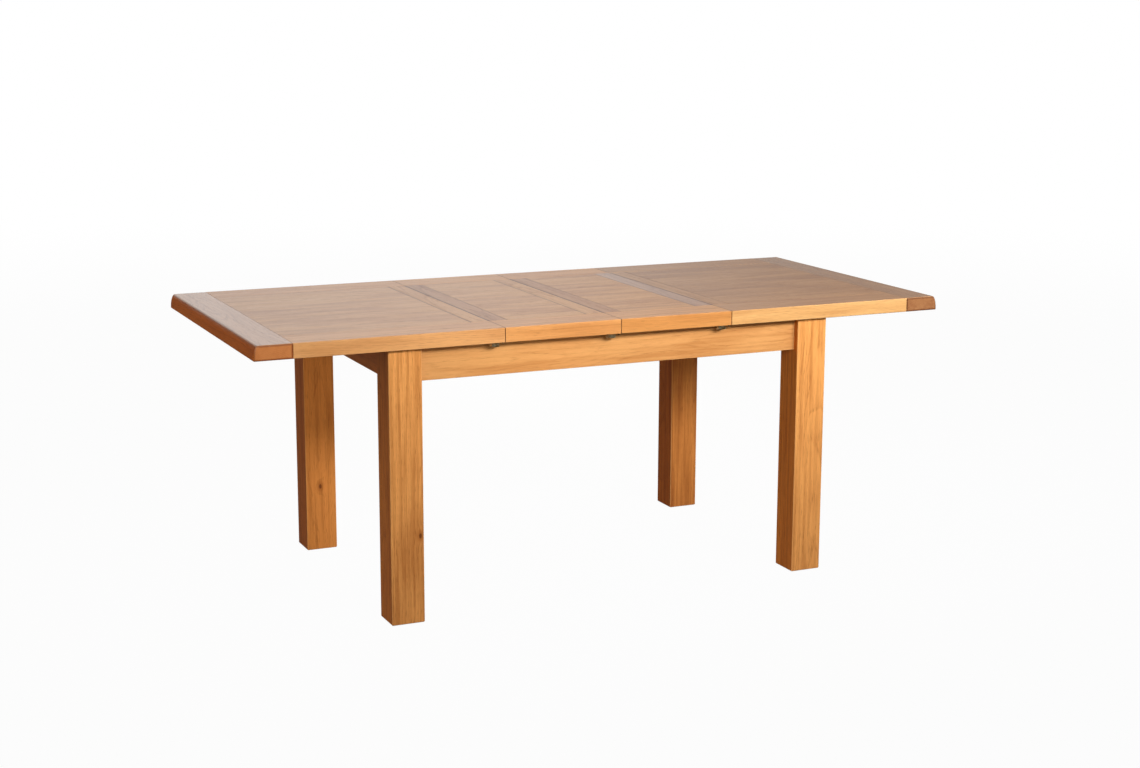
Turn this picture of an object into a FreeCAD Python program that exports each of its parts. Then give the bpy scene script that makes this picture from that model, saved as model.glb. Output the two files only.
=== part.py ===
import FreeCAD, Part
import os

os.makedirs("parts", exist_ok=True)
V = FreeCAD.Vector
UP = V(0, 0, 1)
HERE = V(0, 0, 0)

# The table as a whole, in millimetres
table_height = 764.0
table_width = 880.0
closed_length = 1320.0
leaf_width = 330.0
top_thickness = 39.0
running_gap = 3.0
seam_gap = 0.6
overrun = 60.0

# Boards of the top
end_board_width = 100.0
border_width = 110.0
strip_width = 52.0
field_thickness = 24.0
tongue_thickness = 8.0
tongue_length = 9.0
tongue_clearance = 1.0
end_groove_stop = 25.0
end_nose = 12.5
end_foot = 4.0
end_edge_share = 0.8
arris = 2.0
joint_vee = 0.6
edge_tolerance = 0.1

# Legs and aprons
leg_width = 90.0
leg_overhang = 20.0
leg_arris = 2.5
apron_thickness = 22.0
apron_setback = 20.0
apron_depth = 87.0
tenon_length = 30.0
tenon_thickness = 12.0
tenon_shoulder = 10.0
tenon_haunch = 20.0

# Corner blocks and their bolts
block_thickness = 32.0
block_height = 56.0
block_gap = 2.0
bolt_radius = 4.0
bolt_bite = 45.0
bolt_tail = 13.0
bolt_clearance = 0.3
nut_flange_radius = 9.0
nut_flange_thickness = 1.8
nut_across = 13.0
nut_height = 7.0

# Slide rails, runners and bearers
rail_inset = 203.0
rail_width = 36.0
rail_height = 36.0
rail_housing = 10.0
dovetail_neck = 10.0
dovetail_flare = 3.0
dovetail_depth = 9.0
slide_clearance = 0.3
runner_width = 26.0
runner_lift = 1.0
runner_relief = 1.0
runner_inset = 70.0
runner_reach = 50.0
notch_clearance = 1.5
bearer_offset = 300.0
bearer_width = 70.0
bearer_thickness = 22.0
bearer_housing = 8.0
pin_radius = 5.0
pin_floor = 4.0
pin_clearance = 0.5
slot_depth = 8.0
slot_headroom = 2.5

# Screws that hold the runners
screw_head_radius = 4.5
screw_head_height = 3.0
screw_shank_radius = 2.25
screw_bore_clearance = 0.5
screw_bore_depth = 15.0
screw_bite = 20.0
screw_tip = 5.0
screw_edge = 15.0

# Dowels across the seams
dowel_radius = 5.0
dowel_bite = 26.0
dowel_reach = 25.0
dowel_clearance = 0.3
dowel_nose = 2.0
dowel_row_share = 0.57

# Catches under the seams
catch_inset = 25.0
catch_pivot = 14.0
plate_thickness = 2.0
plate_far = 52.0
plate_near = 2.0
plate_half_width = 10.0
plate_corner = 3.0
post_radius = 3.0
post_clearance = 0.05
post_head_radius = 5.0
post_head_height = 1.5
cam_play = 0.3
cam_drop = 12.0
hub_radius = 7.0
cam_radius = 23.0
cam_wall = 3.5
cam_web = 2.5
cam_half_angle = 30.0
cam_rest_angle = 125.0
finger_radius = 16.0
finger_width = 7.0
knob_radius = 4.5
knob_round_share = 0.4
keeper_far = 36.0
lip_thickness = 2.0
lip_half_width = 6.0
lip_drop = 5.0
lip_play = 0.5
plate_screw_near = 27.0
plate_screw_far = 44.0
keeper_screw_near = 16.0
keeper_screw_far = 29.0
brass_screw_radius = 1.5
brass_screw_head = 3.2
brass_screw_length = 14.0

# Positions that follow from the sizes above
half_width = table_width / 2
half_open = closed_length / 2 + leaf_width
under = table_height - top_thickness
nose_height = table_height - under - end_foot
end_edge_round = end_edge_share * min(end_nose, nose_height) ** 2 / max(end_nose, nose_height)
frame_top = under - running_gap
joint_x = half_open - end_board_width
field_edge = half_width - border_width
tongue_mid = table_height - field_thickness / 2
tongue_z = (tongue_mid - tongue_thickness / 2, tongue_mid + tongue_thickness / 2)
groove_depth = tongue_length + tongue_clearance
seams = (-leaf_width, 0.0, leaf_width)
leg_x = closed_length / 2 - leg_overhang
leg_y = half_width - leg_overhang
leg_in_x = leg_x - leg_width
leg_in_y = leg_y - leg_width
apron_x = leg_x - apron_setback
apron_y = leg_y - apron_setback
apron_in_x = apron_x - apron_thickness
apron_in_y = apron_y - apron_thickness
apron_low = frame_top - apron_depth
tenon_z = (apron_low + tenon_shoulder, frame_top - tenon_haunch)
tenon_set = (apron_thickness - tenon_thickness) / 2
bolt_z = apron_low + apron_depth / 2
rail_offset = apron_in_y - rail_inset
rail_low = under - rail_height
rail_mid = under - rail_height / 2
runner_low = rail_low + runner_lift
runner_far = half_open - runner_inset
runner_middle = rail_width / 2 + slide_clearance + runner_width / 2
outer_runner_y = rail_offset + runner_middle
inner_runner_y = rail_offset - runner_middle
bearer_low = rail_low - bearer_thickness
dowel_z = table_height - top_thickness / 2
dowel_rows = (-half_width * dowel_row_share, 0.0, half_width * dowel_row_share)
catch_y = half_width - catch_inset
plate_low = under - plate_thickness
lip_low = plate_low - lip_drop
web_high = lip_low - lip_play
cam_low = under - cam_drop


def block(x_span, y_span, z_span):
    """A box between two values on each axis, in either order."""
    spans = (x_span, y_span, z_span)
    size = [max(span) - min(span) for span in spans]
    low = V(*[min(span) for span in spans])
    return Part.makeBox(size[0], size[1], size[2], low)


def rod(radius, start, end):
    """A round bar between two points."""
    run = end.sub(start)
    return Part.makeCylinder(radius, run.Length, start, run)


def upright(radius, x, y, z_span):
    """A round bar along Z."""
    return rod(radius, V(x, y, min(z_span)), V(x, y, max(z_span)))


def prism(points, pull):
    """A closed outline pulled along a vector."""
    outline = Part.makePolygon(points + points[:1])
    return Part.Face(outline).extrude(pull)


def joined(first, others):
    """Several touching solids made into one piece."""
    return first.fuse(others).removeSplitter()


def drilled(shape, tools):
    """A shape with each tool that reaches it cut away."""
    near = [tool for tool in tools if tool.BoundBox.intersect(shape.BoundBox)]
    return shape.cut(near).removeSplitter() if near else shape


def other_end(shape):
    """The same shape at the other end of the table."""
    return shape.mirror(HERE, V(1, 0, 0))


def other_side(shape):
    """The same shape at the rear of the table."""
    return shape.mirror(HERE, V(0, 1, 0))


def edges_at(shape, x=None, y=None, z=None):
    """The edges that lie in every plane that is stated."""
    found = []
    for edge in shape.Edges:
        box = edge.BoundBox
        spans = ((x, box.XMin, box.XMax), (y, box.YMin, box.YMax), (z, box.ZMin, box.ZMax))
        if all(at is None or max(abs(at - low), abs(at - high)) < edge_tolerance for at, low, high in spans):
            found.append(edge)
    return found


def save(name, solids):
    """One file for one named piece, or for a set of equal pieces."""
    bodies = [solid for shape in solids for solid in shape.Solids]
    shape = bodies[0] if len(bodies) == 1 else Part.makeCompound(bodies)
    shape.exportStep("parts/" + name + ".step")


def brass_screw(x, y):
    """A countersunk screw that stands in a thin plate under the top."""
    head = Part.makeCone(brass_screw_head, brass_screw_radius, plate_thickness, V(x, y, plate_low), UP)
    shank = upright(brass_screw_radius, x, y, (under, under + brass_screw_length))
    return joined(head, [shank])


def front_plate_screws(seam):
    """The screws of the base plate at a seam's front."""
    return [brass_screw(seam - spot, -catch_y) for spot in (plate_screw_near, plate_screw_far)]


def front_keeper_screws(seam):
    """The screws of the keeper at a seam's front."""
    return [brass_screw(seam + spot, -catch_y) for spot in (keeper_screw_near, keeper_screw_far)]


def runner_screw(x, y):
    """A pan head screw that stands up through a runner."""
    seat = runner_low + screw_bore_depth
    tip = under + screw_bite
    head = upright(screw_head_radius, x, y, (seat - screw_head_height, seat))
    shank = upright(screw_shank_radius, x, y, (seat, tip - screw_tip))
    point = Part.makeCone(screw_shank_radius, 0, screw_tip, V(x, y, tip - screw_tip), UP)
    return joined(head, [shank, point])


def runner_screws(runner_y):
    """The screws of both runners under the left half."""
    spots = (-joint_x - screw_edge, -leaf_width - strip_width / 2)
    return [runner_screw(x, y) for x in spots for y in (-runner_y, runner_y)]


def dowels(seam):
    """The dowels that stand out of a section's right edge."""
    edge = seam - seam_gap / 2
    pegs = []
    for y in dowel_rows:
        peg = rod(dowel_radius, V(edge - dowel_bite, y, dowel_z), V(edge + dowel_reach, y, dowel_z))
        pegs.append(peg.makeFillet(dowel_nose, edges_at(peg, x=edge + dowel_reach)))
    return pegs


def dowel_holes(seam):
    """Running holes for the dowels in the next section's left edge."""
    edge = seam + seam_gap / 2
    end = edge + dowel_reach + dowel_nose
    radius = dowel_radius + dowel_clearance
    return [rod(radius, V(seam, y, dowel_z), V(end, y, dowel_z)) for y in dowel_rows]


def end_board():
    """The left breadboard end: an oval nose over almost its full height, rounded sides and a stopped groove."""
    board = block((-half_open, -joint_x), (-half_width, half_width), (under, table_height)).cut(end_waste())
    free = [edge for edge in board.Edges if edge.BoundBox.XMin < -joint_x - joint_vee]
    sides = [edge for edge in free if edge.BoundBox.YLength < edge_tolerance]
    board = board.makeFillet(end_edge_round, [edge for edge in sides if edge.BoundBox.ZMax > under + edge_tolerance])
    foot = [edge for edge in edges_at(board, z=under) if edge.BoundBox.XMin < -joint_x - joint_vee]
    board = board.makeFillet(arris, foot)
    board = board.makeChamfer(joint_vee, edges_at(board, x=-joint_x, z=table_height))
    reach = half_width - end_groove_stop
    groove = block((-joint_x - groove_depth, -joint_x), (-reach, reach), tongue_z)
    return board.cut(groove)


def end_waste():
    """The wood above the left end's nose: a square bar less the oval bar that fits inside it."""
    start = V(-half_open + end_nose, -half_width, under + end_foot)
    arms = sorted((V(0, 0, nose_height), V(-end_nose, 0, 0)), key=lambda arm: -arm.Length)
    oval = Part.Ellipse(start.add(arms[0]), start.add(arms[1]), start)
    bar = Part.Face(Part.Wire(oval.toShape())).extrude(V(0, table_width, 0))
    return block((-half_open, start.x), (-half_width, half_width), (start.z, table_height)).cut(bar)


def front_border(x_span, tenon):
    """A long front board of one section, grooved inside, with a tenon at its left end if it meets an end board."""
    left, right = x_span
    board = block(x_span, (-half_width, -field_edge), (under, table_height))
    long_edges = edges_at(board, y=-half_width, z=table_height) + edges_at(board, y=-half_width, z=under)
    board = board.makeFillet(arris, long_edges)
    eased = edges_at(board, y=-field_edge, z=table_height)
    eased += edges_at(board, x=left, z=table_height) + edges_at(board, x=right, z=table_height)
    board = board.makeChamfer(joint_vee, eased)
    groove = block(x_span, (-field_edge - groove_depth, -field_edge), tongue_z)
    board = board.cut(groove)
    if tenon:
        width = (-half_width + end_groove_stop, -field_edge - groove_depth)
        board = joined(board, [block((left - tongue_length, left), width, tongue_z)])
    return board


def field(x_span, left_end):
    """The flush field of one section with a tongue on every edge."""
    left, right = x_span
    sides = (-field_edge, field_edge)
    board = block(x_span, sides, (table_height - field_thickness, table_height))
    board = board.makeChamfer(joint_vee, edges_at(board, z=table_height))
    side_reach = field_edge + tongue_length
    across = block(x_span, (-side_reach, side_reach), tongue_z)
    end_sides = (-side_reach, side_reach) if left_end else sides
    left_tongue = block((left - tongue_length, left), end_sides, tongue_z)
    right_tongue = block((right, right + tongue_length), sides, tongue_z)
    return joined(board, [across, left_tongue, right_tongue])


def strip(x_span, groove_side):
    """A cross-grained strip along a seam, grooved towards the field, with a stub tenon at each end."""
    left, right = x_span
    board = block(x_span, (-field_edge, field_edge), (under, table_height))
    board = board.makeChamfer(joint_vee, edges_at(board, z=table_height))
    side_reach = field_edge + tongue_length
    board = joined(board, [block(x_span, (-side_reach, side_reach), tongue_z)])
    mouth = right if groove_side > 0 else left
    groove = block((mouth - groove_side * groove_depth, mouth), (-side_reach, side_reach), tongue_z)
    return board.cut(groove)


def leg():
    """The front left leg with its two mortises and the hole for the hanger bolt."""
    post = block((-leg_x, -leg_in_x), (-leg_y, -leg_in_y), (0, frame_top))
    uprights = [edge for edge in post.Edges if edge.BoundBox.ZLength > leg_width]
    post = post.makeFillet(leg_arris, uprights)
    post = post.makeChamfer(arris, edges_at(post, z=0))
    depth = tenon_length + tongue_clearance
    long_cheeks = (-apron_y + tenon_set, -apron_in_y - tenon_set)
    end_cheeks = (-apron_x + tenon_set, -apron_in_x - tenon_set)
    long_mortise = block((-leg_in_x - depth, -leg_in_x), long_cheeks, tenon_z)
    end_mortise = block(end_cheeks, (-leg_in_y - depth, -leg_in_y), tenon_z)
    return post.cut([long_mortise, end_mortise, hanger_bolt(bolt_radius)])


def hanger_line(distance):
    """A point on the bolt's line, so far inside from the front left leg's inner corner."""
    step = V(1, 1, 0)
    step.normalize()
    return V(-leg_in_x, -leg_in_y, bolt_z).add(step.multiply(distance))


def hanger_bolt(radius):
    """The front left hanger bolt, from inside the leg to past its nut."""
    return rod(radius, hanger_line(-bolt_bite), hanger_line(block_gap + block_thickness + bolt_tail))


def flange_nut():
    """The flange nut on the front left hanger bolt."""
    seat = hanger_line(block_gap + block_thickness)
    top = hanger_line(block_gap + block_thickness + nut_flange_thickness)
    along = top.sub(seat)
    flange = rod(nut_flange_radius, seat, top)
    outline = Part.makePolygon([top.add(spoke) for spoke in nut_spokes(along)])
    pull = V(along).normalize().multiply(nut_height - nut_flange_thickness)
    return joined(flange, [Part.Face(outline).extrude(pull)]).cut(hanger_bolt(bolt_radius))


def nut_spokes(along):
    """Vectors from a hexagon nut's axis to its corners, the first one twice."""
    spoke = UP * (nut_across / 3 ** 0.5)
    return [FreeCAD.Rotation(along, 60 * turn).multVec(spoke) for turn in range(7)]


def corner_block():
    """The diagonal block behind the front left leg, glued to both aprons."""
    near = -leg_in_x - leg_in_y + block_gap * 2 ** 0.5
    far = near + block_thickness * 2 ** 0.5
    low = bolt_z - block_height / 2
    corners = [V(near + apron_in_y, -apron_in_y, low), V(far + apron_in_y, -apron_in_y, low),
               V(-apron_in_x, far + apron_in_x, low), V(-apron_in_x, near + apron_in_x, low)]
    return prism(corners, UP * block_height).cut(hanger_bolt(bolt_radius + bolt_clearance))


def front_apron():
    """The front apron with a tenon at each end and housings for the bearers."""
    board = block((-leg_in_x, leg_in_x), (-apron_y, -apron_in_y), (apron_low, frame_top))
    board = board.makeFillet(arris, edges_at(board, y=-apron_y, z=apron_low))
    reach = leg_in_x + tenon_length
    tenons = block((-reach, reach), (-apron_y + tenon_set, -apron_in_y - tenon_set), tenon_z)
    board = joined(board, [tenons])
    for side in (-1, 1):
        span = (side * bearer_offset - bearer_width / 2, side * bearer_offset + bearer_width / 2)
        board = board.cut(block(span, (-apron_in_y - bearer_housing, -apron_in_y), (bearer_low, rail_low)))
    return board


def left_apron(runner_side):
    """The left end apron, housed for the slide rails and notched so that the runners and their tongues pass."""
    board = block((-apron_x, -apron_in_x), (-leg_in_y, leg_in_y), (apron_low, frame_top))
    board = board.makeFillet(arris, edges_at(board, x=-apron_x, z=apron_low))
    reach = leg_in_y + tenon_length
    tenons = block((-apron_x + tenon_set, -apron_in_x - tenon_set), (-reach, reach), tenon_z)
    board = joined(board, [tenons])
    rail_span = (-rail_offset - rail_width / 2, -rail_offset + rail_width / 2)
    housing = block((-apron_in_x - rail_housing, -apron_in_x), rail_span, (rail_low, frame_top))
    tip = rail_width / 2 - dovetail_depth + slide_clearance - notch_clearance
    back = rail_width / 2 + slide_clearance + runner_width + notch_clearance
    notch_span = (runner_side * tip - rail_offset, runner_side * back - rail_offset)
    notch = block((-apron_x, -apron_in_x), notch_span, (runner_low - notch_clearance, frame_top))
    return board.cut(both_sides([housing, notch]))


def front_rail():
    """The front slide rail with a dovetail groove along both sides."""
    reach = apron_in_x + rail_housing
    neck = dovetail_neck / 2
    wide = neck + dovetail_flare
    outline = []
    for side in (-1, 1):
        face = side * rail_width / 2
        floor = face - side * dovetail_depth
        steps = [(face, rail_low - rail_mid), (face, -neck), (floor, -wide), (floor, wide), (face, neck)]
        steps.append((face, under - rail_mid))
        outline += steps if side < 0 else steps[::-1]
    points = [V(-reach, y - rail_offset, z + rail_mid) for y, z in outline]
    return prism(points, V(2 * reach, 0, 0))


def front_runner(side):
    """A runner of the left half beside the front rail, on its outer side for -1 and its inner side for 1."""
    face = side * (rail_width / 2 + slide_clearance)
    back = face + side * runner_width
    tip = side * (rail_width / 2 - dovetail_depth + slide_clearance)
    neck = dovetail_neck / 2 - slide_clearance
    wide = neck + dovetail_flare
    low = runner_low - rail_mid
    high = under - rail_mid
    outline = [(face, low), (face, -neck), (tip, -wide), (tip, wide), (face, neck), (face, high), (back, high),
               (back, low)]
    points = [V(-runner_far, y - rail_offset, z + rail_mid) for y, z in outline]
    runner = prism(points, V(runner_far - runner_reach, 0, 0))
    middle = side * runner_middle - rail_offset
    span = (middle - runner_width, middle + runner_width)
    relief = block((-leaf_width, -runner_reach), span, (under - runner_relief, under))
    return drilled(runner.cut([relief, stop_slot(middle)]), screw_bores(middle))


def stop_slot(y):
    """The slot for a stop pin: from the closed table to its overrun."""
    slack = pin_radius + pin_clearance
    ends = (-bearer_offset - leaf_width, -bearer_offset + overrun)
    depth = (runner_low, runner_low + slot_depth)
    rounds = [upright(slack, x, y, depth) for x in ends]
    return joined(block(ends, (y - slack, y + slack), depth), rounds)


def screw_bores(y):
    """Counterbores and shank holes for the screws of one runner."""
    bores = []
    for x in (-joint_x - screw_edge, -leaf_width - strip_width / 2):
        seat = runner_low + screw_bore_depth
        bores.append(upright(screw_head_radius + screw_bore_clearance, x, y, (runner_low, seat)))
        bores.append(upright(screw_shank_radius, x, y, (seat, under)))
    return bores


def left_bearer(pin_y):
    """The left cross bearer, housed in both aprons, with a hole for each stop pin."""
    reach = apron_in_y + bearer_housing
    span = (-bearer_offset - bearer_width / 2, -bearer_offset + bearer_width / 2)
    return block(span, (-reach, reach), (bearer_low, rail_low)).cut(left_pins(pin_y))


def left_pins(pin_y):
    """The stop pins on the left bearer."""
    span = (bearer_low + pin_floor, runner_low + slot_depth - slot_headroom)
    return [upright(pin_radius, -bearer_offset, y, span) for y in (-pin_y, pin_y)]


def rounded_plate(x_span):
    """A thin plate under the top at the front, with rounded corners."""
    plate = block(x_span, (-catch_y - plate_half_width, -catch_y + plate_half_width), (plate_low, under))
    corners = [edge for edge in plate.Edges if edge.BoundBox.ZLength > plate_thickness / 2]
    return plate.makeFillet(plate_corner, corners)


def catch_plate(seam):
    """The base plate of a front catch, with the headed post that the cam turns on."""
    pivot = seam - catch_pivot
    plate = rounded_plate((seam - plate_far, seam - plate_near))
    post = upright(post_radius, pivot, -catch_y, (cam_low, under))
    head = upright(post_head_radius, pivot, -catch_y, (cam_low - post_head_height, cam_low))
    return drilled(joined(plate, [post, head]), front_plate_screws(seam))


def keeper(seam):
    """The keeper of a front catch: a plate with a lip turned down beside the seam."""
    near = seam + plate_near
    plate = rounded_plate((near, seam + keeper_far))
    width = (-catch_y - lip_half_width, -catch_y + lip_half_width)
    lip = block((near, near + lip_thickness), width, (lip_low, under))
    return drilled(joined(plate, [lip]), front_keeper_screws(seam))


def cam(seam):
    """The cam lever of a front catch in its open position: hub, web, hooked wall and finger knob."""
    pivot = V(seam - catch_pivot, -catch_y, 0)
    low = cam_low + cam_play
    hub = upright(hub_radius, pivot.x, pivot.y, (low, plate_low - cam_play))
    web = (web_high - cam_web, web_high)
    start = -cam_rest_angle - cam_half_angle
    base = V(pivot.x, pivot.y, web[0])
    sector = Part.makeCylinder(cam_radius, cam_web, base, UP, 2 * cam_half_angle)
    wall_height = plate_low - cam_play - web[0]
    wall = Part.makeCylinder(cam_radius, wall_height, base, UP, 2 * cam_half_angle)
    wall = wall.cut(Part.makeCylinder(cam_radius - cam_wall, wall_height, base, UP))
    for piece in (sector, wall):
        piece.rotate(pivot, UP, start)
    finger = block((pivot.x - finger_radius, pivot.x), (pivot.y - finger_width / 2, pivot.y + finger_width / 2), web)
    knob = upright(knob_radius, pivot.x - finger_radius, pivot.y, (cam_low - post_head_height, web_high))
    knob = knob.makeFillet(knob_radius * knob_round_share, edges_at(knob, z=cam_low - post_head_height))
    bore = upright(post_radius + post_clearance, pivot.x, pivot.y, (cam_low, under))
    return joined(hub, [sector, wall, finger, knob]).cut(bore)


def save_frame():
    """The fixed frame with its rails, bearers and stop pins."""
    corners = {"front_left": [], "front_right": [other_end], "rear_left": [other_side],
               "rear_right": [other_end, other_side]}
    bolts = []
    nuts = []
    for name, turns in corners.items():
        pieces = [leg(), corner_block(), hanger_bolt(bolt_radius), flange_nut()]
        for turn in turns:
            pieces = [turn(piece) for piece in pieces]
        save("leg_" + name, pieces[:1])
        save("corner_block_" + name, pieces[1:2])
        bolts.append(pieces[2])
        nuts.append(pieces[3])
    save("leg_hanger_bolts", bolts)
    save("leg_flange_nuts", nuts)
    for name, shape in (("apron", front_apron()), ("slide_rail", front_rail())):
        save("front_" + name, [shape])
        save("rear_" + name, [other_side(shape)])
    save("left_end_apron", [left_apron(-1)])
    save("right_end_apron", [other_end(left_apron(1))])
    save("left_cross_bearer", [left_bearer(outer_runner_y)])
    save("right_cross_bearer", [other_end(left_bearer(inner_runner_y))])
    pins = left_pins(outer_runner_y) + [other_end(pin) for pin in left_pins(inner_runner_y)]
    save("runner_stop_pins", pins)


def save_half(name, runner_y, runner_side, turn, holes):
    """One top half: its boards, runners and screws. The right half is the left one turned end for end."""
    right = -leaf_width - seam_gap / 2
    inner = -leaf_width - strip_width
    screws = runner_screws(runner_y)
    boards = {
        "end_board": drilled(end_board(), screws),
        "field": field((-joint_x, inner), True),
        "seam_strip": drilled(strip((inner, right), -1), screws),
        "front_border": front_border((-joint_x, right), True),
        "front_runner": front_runner(runner_side),
    }
    boards["rear_border"] = other_side(boards["front_border"])
    boards["rear_runner"] = other_side(boards["front_runner"])
    for piece, shape in boards.items():
        save(name + "_" + piece, [drilled(turn(shape), holes)])
    save(name + "_runner_screws", [turn(screw) for screw in screws])


def save_leaf(name, left_seam, holes):
    """One loose leaf: two borders, a field and two strips."""
    left = left_seam + seam_gap / 2
    right = left_seam + leaf_width - seam_gap / 2
    left_inner = left_seam + strip_width
    right_inner = left_seam + leaf_width - strip_width
    border = front_border((left, right), False)
    boards = {
        "front_border": border,
        "rear_border": other_side(border),
        "field": field((left_inner, right_inner), False),
        "strip_left": strip((left, left_inner), 1),
        "strip_right": strip((right_inner, right), -1),
    }
    for piece, shape in boards.items():
        save(name + "_" + piece, [drilled(shape, holes)])


def both_sides(shapes):
    """The front shapes and the same at the rear."""
    return shapes + [other_side(shape) for shape in shapes]


def save_catches(name, plate_body, keeper_body, seam):
    """The catches of one seam with their plates, keepers and screws."""
    save(plate_body + "_catch_plates", both_sides([catch_plate(seam)] + front_plate_screws(seam)))
    save(keeper_body + "_keepers", both_sides([keeper(seam)] + front_keeper_screws(seam)))
    lever = cam(seam)
    save("cam_" + name + "_front", [lever])
    save("cam_" + name + "_rear", [other_side(lever)])


def main():
    """Every piece of the table in its own file."""
    plate_screws = [both_sides(front_plate_screws(seam)) for seam in seams]
    keeper_screws = [both_sides(front_keeper_screws(seam)) for seam in seams]
    pegs = [dowels(seam) for seam in seams]
    wells = [dowel_holes(seam) for seam in seams]
    save_frame()
    save_half("left", outer_runner_y, -1, lambda shape: shape, plate_screws[0] + pegs[0])
    save_leaf("left_leaf", seams[0], keeper_screws[0] + wells[0] + plate_screws[1] + pegs[1])
    save_leaf("right_leaf", seams[1], keeper_screws[1] + wells[1] + plate_screws[2] + pegs[2])
    save_half("right", inner_runner_y, 1, other_end, keeper_screws[2] + wells[2])
    bodies = ("left", "left_leaf", "right_leaf", "right")
    for number, name in enumerate(("left", "middle", "right")):
        save(bodies[number] + "_dowels", pegs[number])
        save_catches(name, bodies[number], bodies[number + 1], seams[number])


main()
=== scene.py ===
import math

import bpy
import numpy as np
from mathutils import Euler, Matrix, Vector


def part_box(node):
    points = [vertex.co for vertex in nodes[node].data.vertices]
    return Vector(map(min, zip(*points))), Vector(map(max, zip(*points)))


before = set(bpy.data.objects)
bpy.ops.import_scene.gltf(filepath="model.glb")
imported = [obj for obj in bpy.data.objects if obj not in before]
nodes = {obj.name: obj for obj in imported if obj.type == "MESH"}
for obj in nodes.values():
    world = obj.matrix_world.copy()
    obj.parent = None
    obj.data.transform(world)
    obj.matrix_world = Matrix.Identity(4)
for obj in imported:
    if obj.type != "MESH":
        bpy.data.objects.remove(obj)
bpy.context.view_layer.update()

# The photograph's camera: its place in metres, its angles in degrees, its lens and sensor in millimetres
CAMERA_PLACE = (-2.1989, -4.9737, 1.6242)
CAMERA_DOWN = 11.607
CAMERA_TURN = -24.339
CAMERA_ROLL = 0.192
CAMERA_LENS = 61.434
CAMERA_SENSOR = 36.0

# Sizes that the finish follows, in metres: joinery, lines and rims along edges, staves, knots and relief
TONGUE = 0.009
TENON = 0.03
JOINT_LINE = 0.0016
STRIP_LINE = 0.0036
LEG_ARRIS = 0.0035
END_RIM = 0.007
STAVE = 0.112
KNOT_RADIUS = 0.0055
GRAIN_RELIEF = 0.0002
METAL_RELIEF = 0.0001

# Distances in metres past every board, so that it is one stave, has no knot or no line along a free face
ONE_BOARD = 9.0
FAR_KNOT = (90.0, 0.0, 0.0)
FREE_REACH = 1.0

# The knots of two legs, in metres from the leg's centre along its grain and across it
FRONT_LEG_KNOT = (-0.128, -0.043, -0.035)
REAR_LEG_KNOT = (-0.172, 0.002, 0.043)

# Shares of the finish that all woods or all metals have in common
END_SHARE = 0.4
COAT_ROUGHNESS = 0.15
GRAIN_RELIEF_SHARE = 0.35
METAL_RELIEF_SHARE = 0.2

# How thickly the top is lacquered
TOP_COAT = 0.25
STRIP_COAT = 0.22
BRIGHT_STRIP_COAT = 0.6
END_BOARD_COAT = 0.7

# The first seed of each kind of board and the steps between the seeds that follow
TOP_SEED = 100
SECTION_SEEDS = 20
BORDER_SEED = 3
INSIDE_SEED = 300
INSIDE_SEEDS = 10


def srgb(red, green, blue):
    """A screen colour of 0 to 255 per channel as a linear colour with alpha."""
    share = np.array([red, green, blue]) / 255.0
    linear = np.where(share <= 0.04045, share / 12.92, ((share + 0.055) / 1.055) ** 2.4)
    return (*linear.tolist(), 1.0)


# Colours of the woods, the lacquer and the fittings
OAK_PALE = srgb(212, 149, 82)
# The browner oak of the top's right section: partly a different board, partly painted shade for the dimmer
# light and reflection on the right
OAK_BROWN_AND_SHADE = srgb(181, 129, 78)
OAK_BROWN_AND_SHADE_DEEP = srgb(144, 92, 48)
OAK_PORE = srgb(104, 58, 24)
OAK_KNOT = srgb(112, 62, 28)
FIELD_PALE = srgb(203, 145, 82)
FIELD_DEEP = srgb(164, 101, 46)
CROSS_PALE = srgb(186, 126, 70)
CROSS_DEEP = srgb(144, 88, 42)
STRIP_PALE = srgb(176, 119, 68)
STRIP_DEEP = srgb(134, 82, 42)
APRON_PALE = srgb(201, 144, 84)
APRON_DEEP = srgb(163, 102, 50)
LEG_PALE = srgb(218, 150, 81)
LEG_DEEP = srgb(146, 78, 28)
# The rear legs' oak, darker than the front legs', as painted shade for their place under the top
REAR_LEFT_SHADED_PALE = srgb(205, 131, 63)
REAR_LEFT_SHADED_DEEP = srgb(138, 70, 24)
REAR_RIGHT_SHADED_PALE = srgb(193, 123, 59)
REAR_RIGHT_SHADED_DEEP = srgb(128, 64, 22)
END_GRAIN = srgb(210, 119, 62)
END_GRAIN_BROWN = srgb(93, 44, 36)
# Painted shade along the edges of the end grain of the end boards
END_RIM_SHADE = srgb(150, 112, 84)
JOINT_SHADE = srgb(70, 42, 22)
# Painted highlight along the arrises of the legs and aprons
ARRIS_HIGHLIGHT = srgb(236, 176, 110)
BEECH_PALE = srgb(226, 184, 138)
BEECH_DEEP = srgb(202, 154, 108)
BEECH_PORE = srgb(150, 104, 66)
BRASS = srgb(222, 200, 156)
BRASS_DULL = srgb(126, 100, 62)
ZINC = srgb(196, 198, 202)
ZINC_DULL = srgb(140, 142, 146)
WHITE = (1.0, 1.0, 1.0, 1.0)

# Painted shade tints for the faces that look along X, as the factors by which they change the red, green and
# blue of the wood below
LEG_SIDE_SHADE_TINT = (0.95, 0.66, 0.28, 1.0)
REAR_SIDE_SHADE_TINT = (0.74, 0.5, 0.18, 1.0)
LEFT_NOSE_SHADE_TINT = (1.4, 0.77, 0.09, 1.0)
RIGHT_NOSE_SHADE_TINT = (1.06, 0.84, 0.5, 1.0)
APRON_SIDE_SHADE_TINT = (1.2, 0.78, 0.3, 1.0)

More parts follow.
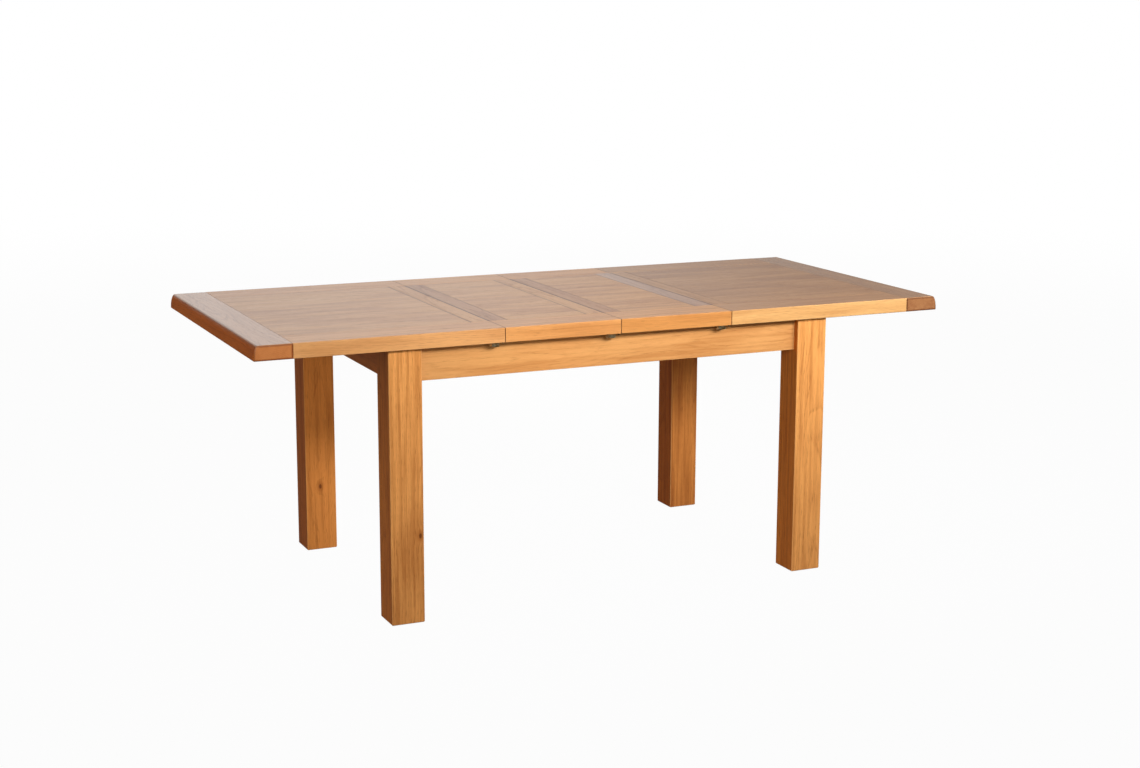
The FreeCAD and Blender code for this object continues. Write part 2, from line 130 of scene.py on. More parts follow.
# The borders of the top, section by section: the pale and the deep tone of the long edge, and the tone of
# the upper face. The paler, less saturated long edge of the right section is partly a painted highlight.
BORDER_TONES = {
    "left": (srgb(212, 153, 93), srgb(170, 108, 54), OAK_PALE),
    "left_leaf": (srgb(207, 144, 81), srgb(166, 101, 45), OAK_PALE),
    "right_leaf": (srgb(194, 131, 68), srgb(155, 91, 37), OAK_PALE),
    "right": (srgb(208, 159, 98), srgb(170, 112, 56), OAK_BROWN_AND_SHADE),
}


def tint_between(given, wanted):
    """The tint that turns the given colour into the wanted one."""
    return (*(want / have for have, want in zip(given[:3], wanted[:3])), 1.0)


def put(tree, socket, value):
    """Links another node's output to a socket, or sets the socket's plain value."""
    if isinstance(value, bpy.types.NodeSocket):
        tree.links.new(value, socket)
    else:
        socket.default_value = value


def step(tree, kind, settings=None, **inputs):
    """Adds one shader node with its options, and fills its inputs by name, with _ for a space."""
    made = tree.nodes.new("ShaderNode" + kind)
    for option, value in (settings or {}).items():
        setattr(made, option, value)
    for name, value in inputs.items():
        put(tree, made.inputs[name.replace("_", " ")], value)
    return made


def sums(tree, operation, *values, clamp=False):
    """One Math node over these values."""
    made = tree.nodes.new("ShaderNodeMath")
    made.operation = operation
    made.use_clamp = clamp
    for socket, value in zip(made.inputs, values):
        put(tree, socket, value)
    return made.outputs[0]


def vectors(tree, operation, *values):
    """One Vector Math node over these values, whose answer is a vector, or a number for a length."""
    made = tree.nodes.new("ShaderNodeVectorMath")
    made.operation = operation
    for socket, value in zip(made.inputs, values):
        put(tree, socket, value)
    return made.outputs["Value" if operation in ("LENGTH", "DOT_PRODUCT") else "Vector"]


def ease(tree, value, low, high, to_low=0.0, to_high=1.0):
    """A smooth step of value from low to high."""
    made = step(tree, "MapRange", {"interpolation_type": "SMOOTHSTEP"}, Value=value, From_Min=low,
                From_Max=high, To_Min=to_low, To_Max=to_high)
    return made.outputs["Result"]


def swing(tree, value, width, middle=None):
    """A value of 0 to 1 as a swing of this width about zero, added to middle where one is given."""
    swung = sums(tree, "MULTIPLY_ADD", value, width, -width / 2)
    return swung if middle is None else sums(tree, "ADD", middle, swung)


# Sockets of the Mix node when it mixes colours
MIX_SHARE = 0
MIX_FIRST = 6
MIX_SECOND = 7
MIX_ANSWER = 2


def blend(tree, share, first, second, way="MIX"):
    """Mixes two colours by share."""
    made = tree.nodes.new("ShaderNodeMix")
    made.data_type = "RGBA"
    made.blend_type = way
    put(tree, made.inputs[MIX_SHARE], share)
    put(tree, made.inputs[MIX_FIRST], first)
    put(tree, made.inputs[MIX_SECOND], second)
    return made.outputs[MIX_ANSWER]


def cloud(tree, place, stretch, detail):
    """Soft noise whose features are stretched by different scales along the three axes."""
    drawn = vectors(tree, "MULTIPLY", place, stretch)
    return step(tree, "TexNoise", Vector=drawn, Scale=1.0, Detail=detail).outputs


def new_group(name, inputs, outputs):
    """An empty shader node group with its named sockets; gives the tree, its inputs and its end node."""
    tree = bpy.data.node_groups.new(name, "ShaderNodeTree")
    for label, kind in inputs:
        tree.interface.new_socket(label, in_out="INPUT", socket_type="NodeSocket" + kind)
    for label, kind in outputs:
        tree.interface.new_socket(label, in_out="OUTPUT", socket_type="NodeSocket" + kind)
    start = tree.nodes.new("NodeGroupInput")
    end = tree.nodes.new("NodeGroupOutput")
    return tree, start.outputs, end.inputs


# How often the figures of sawn wood repeat in a metre, along the grain and in the two ways across it
RING_BENDS = (1.7, 7.0, 7.0)
STREAKS = (3.0, 90.0, 90.0)
MOTTLES = (4.0, 22.0, 22.0)
FIBRES = (11.0, 480.0, 480.0)
VESSELS = (42.0, 1150.0, 1150.0)

# How far the staves of a panel lie apart in the log, in metres: along it, across it and from the pith
LOG_LENGTH = 7.0
LOG_SWAY = 0.07
PITH_SPREAD = 0.03

# The row of the noise from which a stave draws its place in the log and its tone
LOT_ROW = 0.5

# Growth rings: how much good and bad years vary, and how the porous band sets in and falls off in a ring
YEAR_PACE = 0.37
YEAR_SPREAD = 1.6
BAND_START = 0.14
BAND_FALL = 2.2
LATE_PORES = 0.25
VESSEL_EDGES = (0.52, 0.66)

# Tone between pale and deep: where it starts, and what streaks, mottle, fibres and staves add to it
TONE_START = 0.06
TONE_RANGE = (-0.3, 0.7)
STREAK_EDGES = (0.34, 0.68)
MOTTLE_EDGES = (0.36, 0.66)
FIBRE_TONE = 0.36
STAVE_TONE = 0.3
PORE_COVER = 0.72

# A knot in its own radii: its outline along the grain, its core, its halo, and how the rings bend round it
KNOT_DRAW = (0.55, 1.0, 1.0)
KNOT_EDGES = (1.05, 0.5)
HALO_EDGES = (2.4, 0.9)
HALO_COVER = 0.45
KNOT_BEND = -0.16

# Roughness of the lacquered wood and of its streaks and pores, and the height of a fibre against a pore
WOOD_ROUGHNESS = 0.3
STREAK_ROUGHNESS = 0.12
PORE_ROUGHNESS = 0.2
FIBRE_HEIGHT = 0.25


def build_wood_grain():
    """Sawn wood as a solid pattern. The grain runs along local X. A board is cut from a log whose pith lies
    Pith Depth below it: growth rings are equal steps of the distance to the pith, bent by slow noise that is
    stretched along the grain, and they climb by Lean along the board, which draws the arches of a sawn face
    and the arcs of an end. Each ring starts with a dark porous band. A wide panel is staves side by side,
    each with its own place in the log and its own tone. A knot pushes the rings round it."""
    tree, given, out = new_group(
        "wood_grain",
        [("Vector", "Vector"), ("Seed", "Float"), ("Stave Width", "Float"), ("Ring Spacing", "Float"),
         ("Pith Depth", "Float"), ("Lean", "Float"), ("Wander", "Float"), ("Pore Share", "Float"),
         ("Ring Share", "Float"), ("Streak Share", "Float"), ("Mottle Share", "Float"),
         ("Knot Place", "Vector"), ("Knot Radius", "Float"),
         ("Pale", "Color"), ("Deep", "Color"), ("Pore", "Color"), ("Knot", "Color")],
        [("Color", "Color"), ("Roughness", "Float"), ("Height", "Float")],
    )
    # The stave that a point lies in, and its place in the log
    axes = step(tree, "SeparateXYZ", Vector=given["Vector"]).outputs
    lane = sums(tree, "DIVIDE", axes["Y"], given["Stave Width"])
    index = sums(tree, "FLOOR", sums(tree, "ADD", lane, 0.5))
    across = sums(tree, "SUBTRACT", axes["Y"], sums(tree, "MULTIPLY", index, given["Stave Width"]))
    key = step(tree, "CombineXYZ", X=index, Y=given["Seed"], Z=LOT_ROW)
    lot = step(tree, "TexWhiteNoise", {"noise_dimensions": "3D"}, Vector=key.outputs[0])
    lots = step(tree, "SeparateColor", Color=lot.outputs["Color"]).outputs
    along = sums(tree, "MULTIPLY_ADD", lots["Red"], LOG_LENGTH, axes["X"])
    side = swing(tree, lots["Green"], LOG_SWAY, across)
    place = step(tree, "CombineXYZ", X=along, Y=side, Z=axes["Z"]).outputs[0]

    # The distance to the pith, bent by slow noise
    bends = step(tree, "SeparateColor", Color=cloud(tree, place, RING_BENDS, detail=2.0)["Color"]).outputs
    bend_side = sums(tree, "MULTIPLY", sums(tree, "SUBTRACT", bends["Red"], 0.5), given["Wander"])
    bend_deep = sums(tree, "MULTIPLY", sums(tree, "SUBTRACT", bends["Green"], 0.5), given["Wander"])
    pith = sums(tree, "MULTIPLY_ADD", lots["Blue"], PITH_SPREAD, given["Pith Depth"])
    deep = sums(tree, "ADD", axes["Z"], pith)
    from_pith = step(tree, "CombineXYZ", X=0.0, Y=sums(tree, "ADD", side, bend_side),
                     Z=sums(tree, "ADD", deep, bend_deep)).outputs[0]
    reach = sums(tree, "MULTIPLY_ADD", axes["X"], given["Lean"], vectors(tree, "LENGTH", from_pith))

    # The rings swell round a knot by its radius, less so with the square of the distance
    to_knot = vectors(tree, "SUBTRACT", given["Vector"], given["Knot Place"])
    knot_gap = vectors(tree, "LENGTH", vectors(tree, "MULTIPLY", to_knot, KNOT_DRAW))
    knot_gaps = sums(tree, "DIVIDE", knot_gap, given["Knot Radius"])
    squared = sums(tree, "POWER", knot_gaps, 2.0)
    swell = sums(tree, "EXPONENT", sums(tree, "MULTIPLY", squared, KNOT_BEND))
    reach = sums(tree, "ADD", reach, sums(tree, "MULTIPLY", swell, given["Knot Radius"]))

    # Rings of uneven years, each with its porous band
    count = sums(tree, "DIVIDE", reach, given["Ring Spacing"])
    pace = sums(tree, "MULTIPLY", count, YEAR_PACE)
    years = step(tree, "TexNoise", {"noise_dimensions": "1D"}, W=pace, Scale=1.0)
    count = sums(tree, "MULTIPLY_ADD", years.outputs["Fac"], YEAR_SPREAD, count)
    phase = sums(tree, "FRACT", count)
    fall = sums(tree, "POWER", sums(tree, "SUBTRACT", 1.0, phase), BAND_FALL)
    early = sums(tree, "MULTIPLY", fall, ease(tree, phase, 0.0, BAND_START))

    # Streaks, fibres, mottle, and pores that crowd in the porous bands
    streak = cloud(tree, place, STREAKS, detail=4.0)["Fac"]
    fibre = cloud(tree, place, FIBRES, detail=2.0)["Fac"]
    vessel = cloud(tree, place, VESSELS, detail=1.0)["Fac"]
    mottle = cloud(tree, place, MOTTLES, detail=4.0)["Fac"]
    crowd = sums(tree, "MULTIPLY_ADD", early, 1.0 - LATE_PORES, LATE_PORES)
    pore = sums(tree, "MULTIPLY", ease(tree, vessel, *VESSEL_EDGES), crowd)
    pore = sums(tree, "MULTIPLY", pore, given["Pore Share"])

    # The tone, then the pores and the knot over it
    streaked = ease(tree, streak, *STREAK_EDGES, *TONE_RANGE)
    mottled = ease(tree, mottle, *MOTTLE_EDGES, *TONE_RANGE)
    tone = sums(tree, "MULTIPLY_ADD", early, given["Ring Share"], TONE_START)
    tone = sums(tree, "MULTIPLY_ADD", streaked, given["Streak Share"], tone)
    tone = sums(tree, "MULTIPLY_ADD", mottled, given["Mottle Share"], tone)
    tone = swing(tree, fibre, FIBRE_TONE, tone)
    tone = sums(tree, "ADD", tone, swing(tree, lots["Blue"], STAVE_TONE), clamp=True)
    colour = blend(tree, tone, given["Pale"], given["Deep"])
    colour = blend(tree, sums(tree, "MULTIPLY", pore, PORE_COVER), colour, given["Pore"])
    halo = sums(tree, "MULTIPLY", ease(tree, knot_gaps, *HALO_EDGES), HALO_COVER)
    colour = blend(tree, halo, colour, given["Deep"])
    colour = blend(tree, ease(tree, knot_gaps, *KNOT_EDGES), colour, given["Knot"])

    rough = sums(tree, "MULTIPLY_ADD", streak, STREAK_ROUGHNESS, WOOD_ROUGHNESS)
    sunk = sums(tree, "MULTIPLY", pore, -1.0)
    put(tree, out["Color"], colour)
    put(tree, out["Roughness"], sums(tree, "MULTIPLY_ADD", pore, PORE_ROUGHNESS, rough))
    put(tree, out["Height"], sums(tree, "MULTIPLY_ADD", fibre, FIBRE_HEIGHT, sunk))
    return tree


def build_edge_band():
    """Masks on a box-shaped piece. Half Size is half of the box. Of the distances to the three pairs of
    faces, the smallest is the way to the nearest joint face and the second smallest is the way to the
    nearest arris."""
    tree, given, out = new_group(
        "edge_band", [("Vector", "Vector"), ("Half Size", "Vector"), ("Width", "Float")],
        [("Joint", "Float"), ("Arris", "Float")])
    gaps = vectors(tree, "SUBTRACT", given["Half Size"], vectors(tree, "ABSOLUTE", given["Vector"]))
    gap = step(tree, "SeparateXYZ", Vector=gaps).outputs
    low = sums(tree, "MINIMUM", gap["X"], gap["Y"])
    high = sums(tree, "MAXIMUM", gap["X"], gap["Y"])
    nearest_face = sums(tree, "MINIMUM", low, gap["Z"])
    nearest_arris = sums(tree, "MAXIMUM", low, sums(tree, "MINIMUM", high, gap["Z"]))
    put(tree, out["Joint"], ease(tree, nearest_face, given["Width"], 0.0))
    put(tree, out["Arris"], ease(tree, nearest_arris, given["Width"], 0.0))
    return tree


# How squarely a face has to look along an axis to be counted, from a little to fully
FACING_EDGES = (0.6, 0.95)


def build_facing():
    """A mask of the faces that look along Axis, such as those that cut across the grain."""
    tree, given, out = new_group("facing", [("Normal", "Vector"), ("Axis", "Vector")], [("Mask", "Float")])
    facing = sums(tree, "ABSOLUTE", vectors(tree, "DOT_PRODUCT", given["Normal"], given["Axis"]))
    put(tree, out["Mask"], ease(tree, facing, *FACING_EDGES))
    return tree


# Lines and tarnish of the fittings: how often they repeat in a metre, and what they add to the roughness
TURNED_LINES = (900.0, 900.0, 5000.0)
TARNISH = (70.0, 70.0, 70.0)
TARNISH_EDGES = (0.42, 0.68)
METAL_ROUGHNESS = 0.2
LINE_ROUGHNESS = 0.1
TARNISH_ROUGHNESS = 0.18


def build_metal_skin():
    """Fine turned lines and cloudy tarnish on a small metal fitting."""
    tree, given, out = new_group(
        "metal_skin", [("Vector", "Vector"), ("Bright", "Color"), ("Dull", "Color")],
        [("Color", "Color"), ("Roughness", "Float"), ("Height", "Float")])
    lines = cloud(tree, given["Vector"], TURNED_LINES, detail=2.0)["Fac"]
    bloom = cloud(tree, given["Vector"], TARNISH, detail=4.0)["Fac"]
    dull = ease(tree, bloom, *TARNISH_EDGES)
    rough = sums(tree, "MULTIPLY_ADD", lines, LINE_ROUGHNESS, METAL_ROUGHNESS)
    put(tree, out["Color"], blend(tree, dull, given["Bright"], given["Dull"]))
    put(tree, out["Roughness"], sums(tree, "MULTIPLY_ADD", dull, TARNISH_ROUGHNESS, rough))
    put(tree, out["Height"], lines)
    return tree


WOOD_GRAIN = build_wood_grain()
EDGE_BAND = build_edge_band()
FACING = build_facing()
METAL_SKIN = build_metal_skin()

# The tilt about Y and the spin about Z that lay the grain along each axis, and the axes themselves
GRAIN_TURN = {"X": (0.0, 0.0), "Y": (0.0, math.radians(90.0)), "Z": (math.radians(-90.0), 0.0)}
GRAIN_AXIS = {"X": (1.0, 0.0, 0.0), "Y": (0.0, 1.0, 0.0), "Z": (0.0, 0.0, 1.0)}


def fill_group(tree, group, **inputs):
    """Places a node group in a material and fills its inputs by name."""
    made = tree.nodes.new("ShaderNodeGroup")
    made.node_tree = group
    for name, value in inputs.items():
        put(tree, made.inputs[name.replace("_", " ")], value)
    return made.outputs


def new_finish(name):
    """A new material with its node tree and its shader."""
    material = bpy.data.materials.new(name)
    material.use_nodes = True
    tree = material.node_tree
    return material, tree, tree.nodes["Principled BSDF"]


def from_centre(tree, place, centre, turn=(0.0, 0.0, 0.0)):
    """Places measured from a centre, along axes that are turned with the grain."""
    made = step(tree, "Mapping", {"vector_type": "TEXTURE"}, Vector=place, Location=centre, Rotation=turn)
    return made.outputs[0]


def dress(node, material):
    """Gives a CAD node its material."""
    mesh = nodes[node].data
    mesh.materials.clear()
    mesh.materials.append(material)


def wood(node, grain, seed, pale, deep, pore, face_turn=0.0, stave=ONE_BOARD, ring=0.0042, pith=0.06,
         lean=0.012, wander=0.05, pores=1.0, rings=0.6, streaks=0.5, mottle=0.2, knot=FAR_KNOT,
         inset=(0.0, 0.0, 0.0), free="", edge="Joint", edge_width=JOINT_LINE, edge_colour=JOINT_SHADE,
         edge_share=0.8, face_tint=0.0, tint_face="X", tint_colour=LEG_SIDE_SHADE_TINT, gloss=0.5, coat=0.0,
         end_colour=END_GRAIN, rim_shade=0.0):
    """The material of one wooden piece, with its grain along X, Y or Z and turned about the grain by
    face_turn, so that the arches show on the face that the sawyer chose. The edge band lies inset into the
    piece and keeps off the faces named in free. The faces that look along tint_face take on the share
    face_tint of tint_colour: a painted shade tint on the side faces of legs, aprons and end boards, and the
    upper face's own tone on the borders. Rim_shade is the width of a painted shade rim along the edges of
    the end grain, and coat is the lacquer, which the faces that look along X go without."""
    low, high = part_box(node)
    centre = (low + high) / 2
    half_box = (high - low) / 2
    low = low + Vector(inset) - FREE_REACH * Vector(["-" + axis in free for axis in "XYZ"])
    high = high - Vector(inset) + FREE_REACH * Vector(["+" + axis in free for axis in "XYZ"])
    material, tree, shader = new_finish(node + "_wood")
    surface = step(tree, "TexCoord").outputs
    place = surface["Object"]
    tilt, spin = GRAIN_TURN[grain]
    sawn = fill_group(
        tree, WOOD_GRAIN, Vector=from_centre(tree, place, centre, (math.radians(face_turn), tilt, spin)),
        Seed=float(seed), Stave_Width=stave, Ring_Spacing=ring, Pith_Depth=pith, Lean=lean, Wander=wander,
        Pore_Share=pores, Ring_Share=rings, Streak_Share=streaks, Mottle_Share=mottle, Knot_Place=knot,
        Knot_Radius=KNOT_RADIUS, Pale=pale, Deep=deep, Pore=pore, Knot=OAK_KNOT)

    def looks_along(axis):
        """The mask of the faces that look along X, Y or Z."""
        return fill_group(tree, FACING, Normal=surface["Normal"], Axis=GRAIN_AXIS[axis])["Mask"]

    cut = looks_along(grain)
    colour = blend(tree, sums(tree, "MULTIPLY", cut, END_SHARE), sawn["Color"], end_colour)
    # Painted shade tint on the faces that look along tint_face; on the borders it gives the upper face its
    # own tone
    if face_tint:
        toned = sums(tree, "MULTIPLY", looks_along(tint_face), face_tint)
        colour = blend(tree, toned, colour, tint_colour, way="MULTIPLY")
    # A painted shade rim along the edges of the end grain
    if rim_shade:
        boxed = from_centre(tree, place, centre)
        rim = fill_group(tree, EDGE_BAND, Vector=boxed, Half_Size=half_box, Width=rim_shade)["Arris"]
        colour = blend(tree, sums(tree, "MULTIPLY", rim, cut), colour, END_RIM_SHADE, way="MULTIPLY")
    # The edge band: dark joint lines, or a painted highlight along the arrises where edge_colour is
    # ARRIS_HIGHLIGHT
    if edge_share:
        boxed = from_centre(tree, place, (low + high) / 2)
        band = fill_group(tree, EDGE_BAND, Vector=boxed, Half_Size=(high - low) / 2, Width=edge_width)[edge]
        colour = blend(tree, sums(tree, "MULTIPLY", band, edge_share), colour, edge_colour)
    put(tree, shader.inputs["Base Color"], colour)
    put(tree, shader.inputs["Roughness"], sawn["Roughness"])
    shader.inputs["Specular IOR Level"].default_value = gloss
    if coat:
        put(tree, shader.inputs["Coat Weight"], sums(tree, "MULTIPLY_ADD", looks_along("X"), -coat, coat))
        shader.inputs["Coat Roughness"].default_value = COAT_ROUGHNESS
    relief = step(tree, "Bump", Height=sawn["Height"], Strength=GRAIN_RELIEF_SHARE, Distance=GRAIN_RELIEF)
    put(tree, shader.inputs["Normal"], relief.outputs[0])
    dress(node, material)


def metal(name, bright, dull):
    """A metal that all fittings of one kind share."""
    material, tree, shader = new_finish(name)
    place = step(tree, "TexCoord").outputs["Object"]
    skin = fill_group(tree, METAL_SKIN, Vector=place, Bright=bright, Dull=dull)
    put(tree, shader.inputs["Base Color"], skin["Color"])
    put(tree, shader.inputs["Roughness"], skin["Roughness"])
    shader.inputs["Metallic"].default_value = 1.0
    relief = step(tree, "Bump", Height=skin["Height"], Strength=METAL_RELIEF_SHARE, Distance=METAL_RELIEF)
    put(tree, shader.inputs["Normal"], relief.outputs[0])
    return material


def finish_legs():
    """Square posts with the grain upright. Two of them have a knot, as in the photograph. The rear legs have
    darker tones as painted shade, the faces that look along X a painted shade tint and the arrises a painted
    highlight.
    """
    for node, seed, pale, deep, side_shade, turn, knot in (
            ("leg_front_left", 11, LEG_PALE, LEG_DEEP, LEG_SIDE_SHADE_TINT, 0.0, FRONT_LEG_KNOT),
            ("leg_front_right", 23, LEG_PALE, LEG_DEEP, LEG_SIDE_SHADE_TINT, 90.0, FAR_KNOT),
            ("leg_rear_left", 37, REAR_LEFT_SHADED_PALE, REAR_LEFT_SHADED_DEEP, REAR_SIDE_SHADE_TINT, 90.0, REAR_LEG_KNOT),
            ("leg_rear_right", 41, REAR_RIGHT_SHADED_PALE, REAR_RIGHT_SHADED_DEEP, REAR_SIDE_SHADE_TINT, 0.0, FAR_KNOT)):
        wood(node, "Z", seed, pale, deep, OAK_PORE, face_turn=turn, ring=0.005, pith=0.03, lean=0.02,
             wander=0.04, pores=0.9, rings=0.2, streaks=0.45, mottle=0.2, knot=knot, edge="Arris",
             edge_width=LEG_ARRIS, edge_colour=ARRIS_HIGHLIGHT, edge_share=0.5, face_tint=0.9, tint_colour=side_shade,
             gloss=0.12)


def finish_aprons():
    """Rails below the top, with the arches on their outer faces. Their faces that look along X get a painted
    shade tint and their arrises a painted highlight.
    """
    for node, grain, seed, turn in (("front_apron", "X", 51, 90.0), ("rear_apron", "X", 57, -90.0),
                                    ("left_end_apron", "Y", 61, 90.0), ("right_end_apron", "Y", 67, -90.0)):
        inset = (TENON, 0.0, 0.0) if grain == "X" else (0.0, TENON, 0.0)
        wood(node, grain, seed, APRON_PALE, APRON_DEEP, OAK_PORE, face_turn=turn, pith=0.05, pores=0.6,
             rings=0.15, streaks=0.36, mottle=0.42, inset=inset, edge="Arris", edge_width=LEG_ARRIS,
             edge_colour=ARRIS_HIGHLIGHT, edge_share=0.3, face_tint=1.0, tint_colour=APRON_SIDE_SHADE_TINT, gloss=0.15)


def finish_top():
    """Boards of the top: fields and borders run lengthwise, strips and end boards run across. The right
    section's browner tone is partly painted shade. The end boards' noses get a painted shade tint, and their
    end grain a painted shade rim along its edges.
    """
    flat = "-Z +Z"
    for number, (section, (edge_pale, edge_deep, upper_face)) in enumerate(BORDER_TONES.items()):
        seed = TOP_SEED + SECTION_SEEDS * number
        pale, deep = (OAK_BROWN_AND_SHADE, OAK_BROWN_AND_SHADE_DEEP) if section == "right" else (FIELD_PALE, FIELD_DEEP)
        wood(section + "_field", "X", seed, pale, deep, OAK_PORE, stave=STAVE, rings=0.2, streaks=0.26,
             mottle=0.6, inset=(TONGUE, TONGUE, 0.0), free=flat, edge_share=0.4, coat=TOP_COAT)
        for place, border in enumerate(("_front_border", "_rear_border")):
            wood(section + border, "X", seed + BORDER_SEED + place, edge_pale, edge_deep, OAK_PORE,
                 pores=0.7, rings=0.25, streaks=0.4, mottle=0.32, free=flat + " -Y +Y", face_tint=1.0,
                 tint_face="Z", tint_colour=tint_between(edge_pale, upper_face), coat=TOP_COAT)
    for strip, seed, pale, deep, coat in (
            ("left_seam_strip", 107, FIELD_PALE, FIELD_DEEP, STRIP_COAT),
            ("left_leaf_strip_left", 127, STRIP_PALE, STRIP_DEEP, STRIP_COAT),
            ("left_leaf_strip_right", 128, FIELD_PALE, FIELD_DEEP, STRIP_COAT),
            ("right_leaf_strip_left", 147, STRIP_PALE, STRIP_DEEP, STRIP_COAT),
            ("right_leaf_strip_right", 148, STRIP_PALE, STRIP_DEEP, BRIGHT_STRIP_COAT),
            ("right_seam_strip", 167, OAK_BROWN_AND_SHADE, OAK_BROWN_AND_SHADE_DEEP, STRIP_COAT)):
        wood(strip, "Y", seed, pale, deep, OAK_PORE, rings=0.4, streaks=0.4, mottle=0.25, free=flat,
             edge_width=STRIP_LINE, edge_share=1.0, coat=coat)
    for board, seed, rim, pale, deep, nose_shade, cut in (
            ("left_end_board", 201, "-X", CROSS_PALE, CROSS_DEEP, LEFT_NOSE_SHADE_TINT, END_GRAIN),
            ("right_end_board", 207, "+X", OAK_BROWN_AND_SHADE, OAK_BROWN_AND_SHADE_DEEP, RIGHT_NOSE_SHADE_TINT, END_GRAIN_BROWN)):
        wood(board, "Y", seed, pale, deep, OAK_PORE, rings=0.4, streaks=0.4, mottle=0.25,
             free=flat + " -Y +Y " + rim, face_tint=1.0, tint_colour=nose_shade, gloss=0.15, coat=END_BOARD_COAT,
             end_colour=cut, rim_shade=END_RIM)


def finish_inside():
    """Beech of the slides, the blocks, the pins and the dowels."""
    along = ["front_slide_rail", "rear_slide_rail", "left_front_runner", "left_rear_runner",
             "right_front_runner", "right_rear_runner", "left_dowels", "left_leaf_dowels",
             "right_leaf_dowels"]
    across = ["left_cross_bearer", "right_cross_bearer", "corner_block_front_left",
              "corner_block_front_right", "corner_block_rear_left", "corner_block_rear_right"]
    for grain, members in (("X", along), ("Y", across), ("Z", ["runner_stop_pins"])):
        for number, node in enumerate(members):
            wood(node, grain, INSIDE_SEED + INSIDE_SEEDS * number, BEECH_PALE, BEECH_DEEP, BEECH_PORE,
                 ring=0.003, wander=0.03, pores=0.5, edge_share=0.0, gloss=0.3, end_colour=BEECH_PORE)


def finish_fittings():
    """Brass of the catches and zinc-plated steel of the hidden screws."""
    brass = metal("satin_brass", BRASS, BRASS_DULL)
    zinc = metal("zinc_plate", ZINC, ZINC_DULL)
    for node in nodes:
        if node.startswith("cam_") or node.endswith(("catch_plates", "keepers")):
            dress(node, brass)
        elif node.endswith(("hanger_bolts", "flange_nuts", "runner_screws")):
            dress(node, zinc)


def seen_share(tree, mirror_share):
    """A share of 1 for rays from the camera or through glass, mirror_share for reflected rays, 0 for the
    rest."""
    rays = step(tree, "LightPath").outputs
    mirrored = sums(tree, "MULTIPLY", rays["Is Glossy Ray"], mirror_share)
    direct = sums(tree, "MAXIMUM", rays["Is Camera Ray"], rays["Is Transmission Ray"])
    return sums(tree, "MAXIMUM", direct, mirrored)


# The floor, in metres: its half width, and how far from the table it begins and ends to clear to white
FLOOR_REACH = 60.0
FLOOR_CLEAR = 4.0
FLOOR_FADE = 9.0

# The floor's paper: its share of plain white near the table, its share in reflections, and its own tones
FLOOR_KEEP = 0.97
FLOOR_MIRROR = 0.1
PAPER = 0.4
PAPER_MIRROR = 0.06


def lay_floor():
    """A pale floor that is nearly white to the eye, keeps the table's soft shadow and clears to white far
    away: one square about the origin."""
    corners = FLOOR_REACH * np.array([(-1, -1, 0), (1, -1, 0), (1, 1, 0), (-1, 1, 0)])
    mesh = bpy.data.meshes.new("studio_floor")
    mesh.from_pydata(corners.tolist(), [], [(0, 1, 2, 3)])
    floor = bpy.data.objects.new("studio_floor", mesh)
    bpy.context.scene.collection.objects.link(floor)
    material = bpy.data.materials.new("studio_paper")
    material.use_nodes = True
    tree = material.node_tree
    tree.nodes.clear()
    away = vectors(tree, "LENGTH", step(tree, "TexCoord").outputs["Object"])
    cover = ease(tree, away, FLOOR_CLEAR, FLOOR_FADE, FLOOR_KEEP, 1.0)
    share = sums(tree, "MULTIPLY", seen_share(tree, FLOOR_MIRROR), cover)
    mirrored = step(tree, "LightPath").outputs["Is Glossy Ray"]
    tone = sums(tree, "MULTIPLY_ADD", mirrored, PAPER_MIRROR - PAPER, PAPER)
    paper = step(tree, "BsdfDiffuse", Color=tone)
    glow = step(tree, "Emission", Color=WHITE, Strength=1.0)
    both = step(tree, "MixShader")
    for socket, value in zip(both.inputs, (share, paper.outputs[0], glow.outputs[0])):
        put(tree, socket, value)
    end = tree.nodes.new("ShaderNodeOutputMaterial")
    put(tree, end.inputs["Surface"], both.outputs[0])
    mesh.materials.append(material)


# The surround: its strength, its tone, and the edges between its parts as shares of a direction's X, Y or Z
AMBIENT = 0.72
ZENITH_SHARE = 0.14
ZENITH_EDGES = (0.2, 0.8)
LEFT_FILL = 1.2
LEFT_EDGES = (-0.7, 0.1)
BEHIND_EDGES = (0.45, 0.75)
FLAG_SHADE = 0.03
FLAG_EDGES = (-0.23, -0.15)
FADE_SHADE = 0.3
FADE_EDGES = (0.33, 0.56)
FILL_TONE = (1.0, 0.93, 0.82, 1.0)


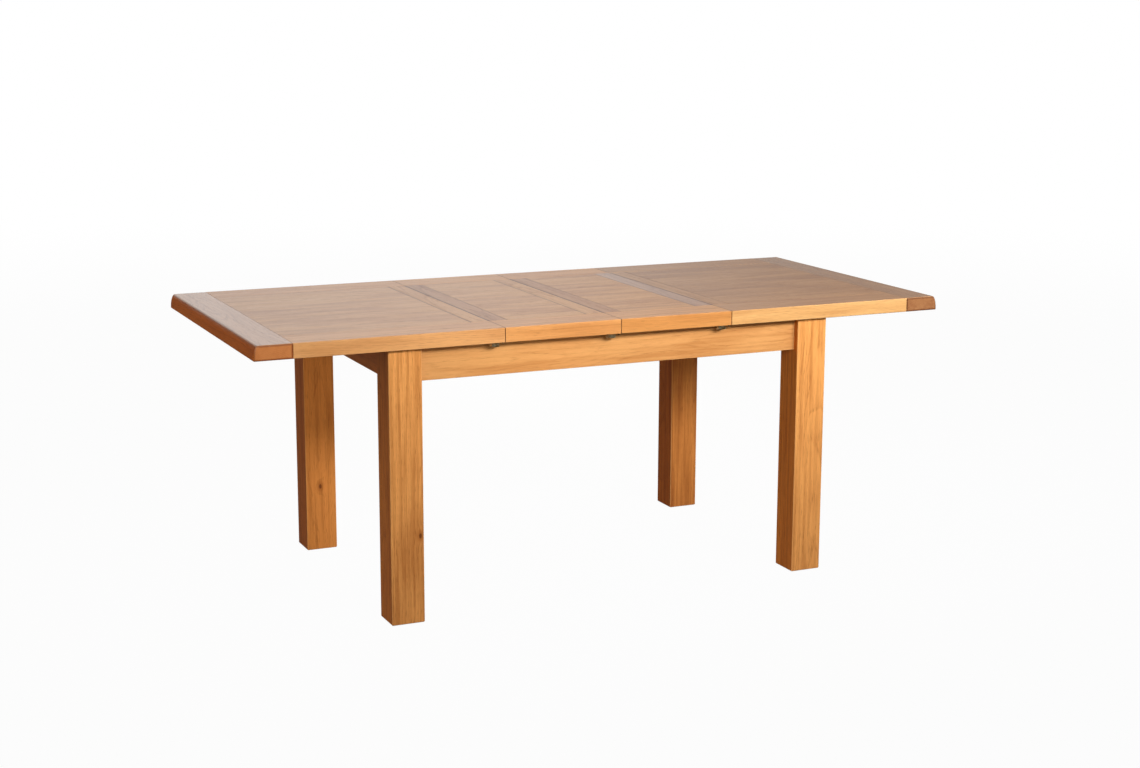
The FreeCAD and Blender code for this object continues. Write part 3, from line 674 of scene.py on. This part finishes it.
def light_world():
    """A white surround to the eye. Reflections see the same white, except behind the table, where a dark
    flag stands on the left and the white fades on the right. Everything else gets a dim warm fill, which is
    weaker overhead and a little stronger on the left."""
    world = bpy.data.worlds.new("studio_white")
    bpy.context.scene.world = world
    world.use_nodes = True
    tree = world.node_tree
    back = tree.nodes["Background"]
    outlook = step(tree, "SeparateXYZ", Vector=step(tree, "TexCoord").outputs["Generated"]).outputs
    behind = ease(tree, outlook["Y"], *BEHIND_EDGES)
    beside = sums(tree, "MULTIPLY", ease(tree, outlook["X"], *FLAG_EDGES, 1.0, 0.0), behind)
    beyond = sums(tree, "MULTIPLY", ease(tree, outlook["X"], *FADE_EDGES), behind)
    flag = sums(tree, "MULTIPLY_ADD", beside, FLAG_SHADE - 1.0, 1.0)
    fade = sums(tree, "MULTIPLY_ADD", beyond, FADE_SHADE - 1.0, 1.0)
    share = seen_share(tree, sums(tree, "MULTIPLY", flag, fade))
    overhead = ease(tree, outlook["Z"], *ZENITH_EDGES, AMBIENT, AMBIENT * ZENITH_SHARE)
    dome = sums(tree, "MULTIPLY", overhead, ease(tree, outlook["X"], *LEFT_EDGES, LEFT_FILL, 1.0))
    scattered = step(tree, "LightPath").outputs["Is Diffuse Ray"]
    fill = sums(tree, "MULTIPLY", scattered, dome)
    put(tree, back.inputs["Color"], blend(tree, scattered, WHITE, FILL_TONE))
    put(tree, back.inputs["Strength"], sums(tree, "MAXIMUM", share, fill))
    world.cycles.sampling_method = "NONE"


def soft_box(name, place, aim, width, height, watts, spread=180.0, tone=(1.0, 1.0, 1.0)):
    """An oblong area lamp at place that faces aim; a spread under 180 degrees is a grid on its front."""
    lamp = bpy.data.lights.new(name, "AREA")
    lamp.shape = "RECTANGLE"
    lamp.size = width
    lamp.size_y = height
    lamp.energy = watts
    lamp.color = tone
    lamp.spread = math.radians(spread)
    holder = bpy.data.objects.new(name, lamp)
    holder.location = place
    holder.rotation_euler = (Vector(aim) - Vector(place)).to_track_quat("-Z", "Y").to_euler()
    holder.visible_camera = False
    holder.visible_glossy = False
    bpy.context.scene.collection.objects.link(holder)


# The tone of the soft box in front of the table, a little cooler than white
KEY_TONE = (1.0, 1.03, 1.12)


def light_studio():
    """A long soft box with a grid in front of the table, a weaker one overhead, a low one behind the table
    for its rear faces, and a small one, low down, that reaches the rear left leg under the apron."""
    soft_box("key_light", place=(0.88, -2.5, 1.7), aim=(0.62, -0.44, 1.15), width=3.0, height=0.5,
             watts=30.0, spread=75.0, tone=KEY_TONE)
    soft_box("top_light", place=(-0.6, 0.8, 3.6), aim=(-0.2, 0.0, 0.7), width=2.5, height=2.5, watts=3.0)
    soft_box("back_light", place=(1.4, 3.2, 0.45), aim=(0.1, 0.4, 0.45), width=1.2, height=0.4,
             watts=24.0, spread=75.0)
    soft_box("rear_leg_light", place=(1.2, -3.2, 0.3), aim=(-0.6, 0.33, 0.5), width=0.2, height=0.2,
             watts=0.17, spread=12.0, tone=FILL_TONE[:3])


def set_camera():
    """The photograph's camera: turned, tipped down and rolled a little about its own axis."""
    camera = bpy.data.cameras.new("photo_camera")
    camera.sensor_width = CAMERA_SENSOR
    camera.sensor_fit = "HORIZONTAL"
    camera.lens = CAMERA_LENS
    holder = bpy.data.objects.new("photo_camera", camera)
    aim = Euler((math.radians(90.0 - CAMERA_DOWN), 0.0, math.radians(CAMERA_TURN))).to_matrix()
    roll = Matrix.Rotation(math.radians(CAMERA_ROLL), 3, "Z")
    holder.rotation_euler = (aim @ roll).to_euler()
    holder.location = CAMERA_PLACE
    bpy.context.scene.collection.objects.link(holder)
    bpy.context.scene.camera = holder


finish_legs()
finish_aprons()
finish_top()
finish_inside()
finish_fittings()
lay_floor()
light_world()
light_studio()
set_camera()
bpy.context.scene.view_settings.view_transform = "Standard"
